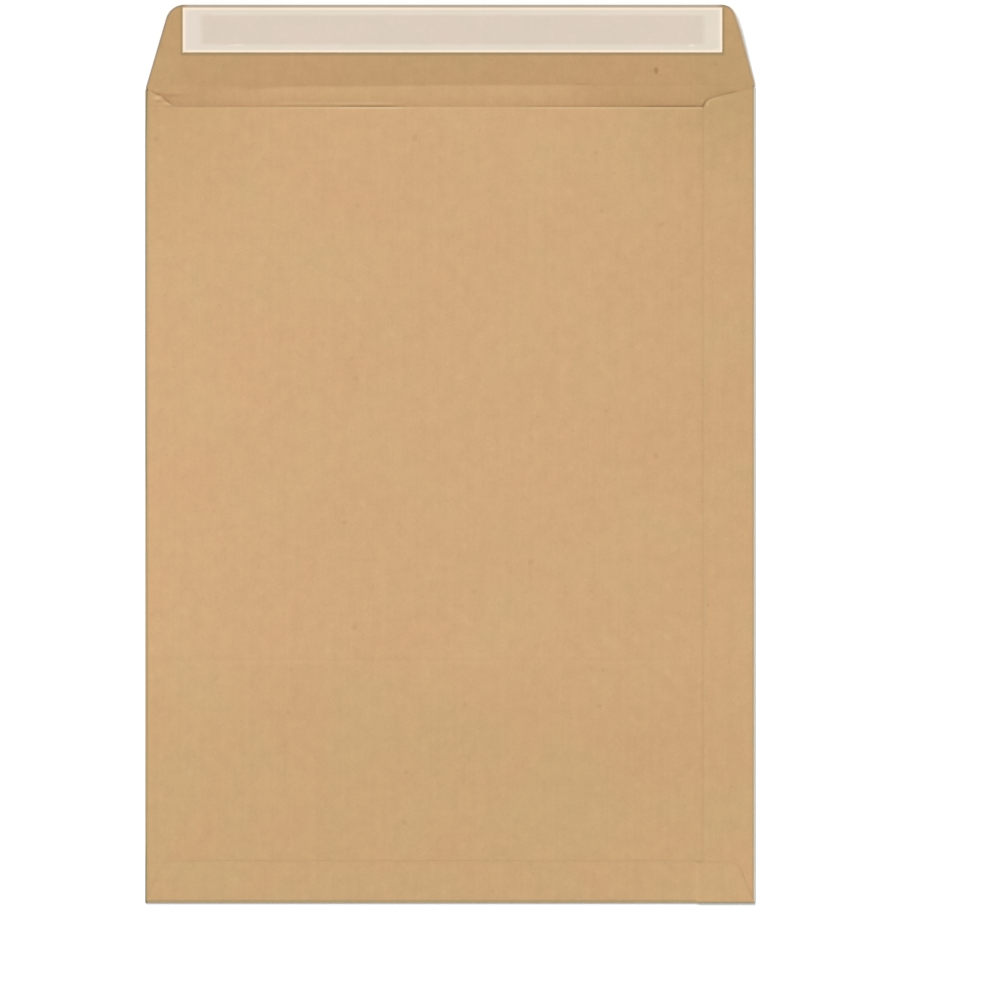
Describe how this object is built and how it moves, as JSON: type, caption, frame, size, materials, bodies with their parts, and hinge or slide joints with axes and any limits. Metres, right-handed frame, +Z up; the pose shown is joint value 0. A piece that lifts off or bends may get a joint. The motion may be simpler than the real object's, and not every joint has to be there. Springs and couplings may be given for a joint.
{
  "type": "pocket envelope",
  "caption": "Large unpadded manila pocket envelope lying on its address side, its seal flap open and the peel-off liner still on.",
  "frame": {"origin": "the middle of the address panel's outer face, which lies on the table", "axes": "+Z up, away from the table; +Y along the envelope towards the open seal flap; +X to the right, seen from above with the flap at the far end"},
  "size_m": [0.304, 0.4479, 0.0082],
  "materials": {
    "manila_paper": "matte",
    "liner_paper": "satin",
    "seal_adhesive": "gloss",
    "dried_glue": "satin"
  },
  "bodies": {
    "root": {"envelope": "manila_paper", "side_seam_glue": "dried_glue", "bottom_flap_glue": "dried_glue", "seal_adhesive": "seal_adhesive", "release_liner": "liner_paper"}
  },
  "joints": []
}
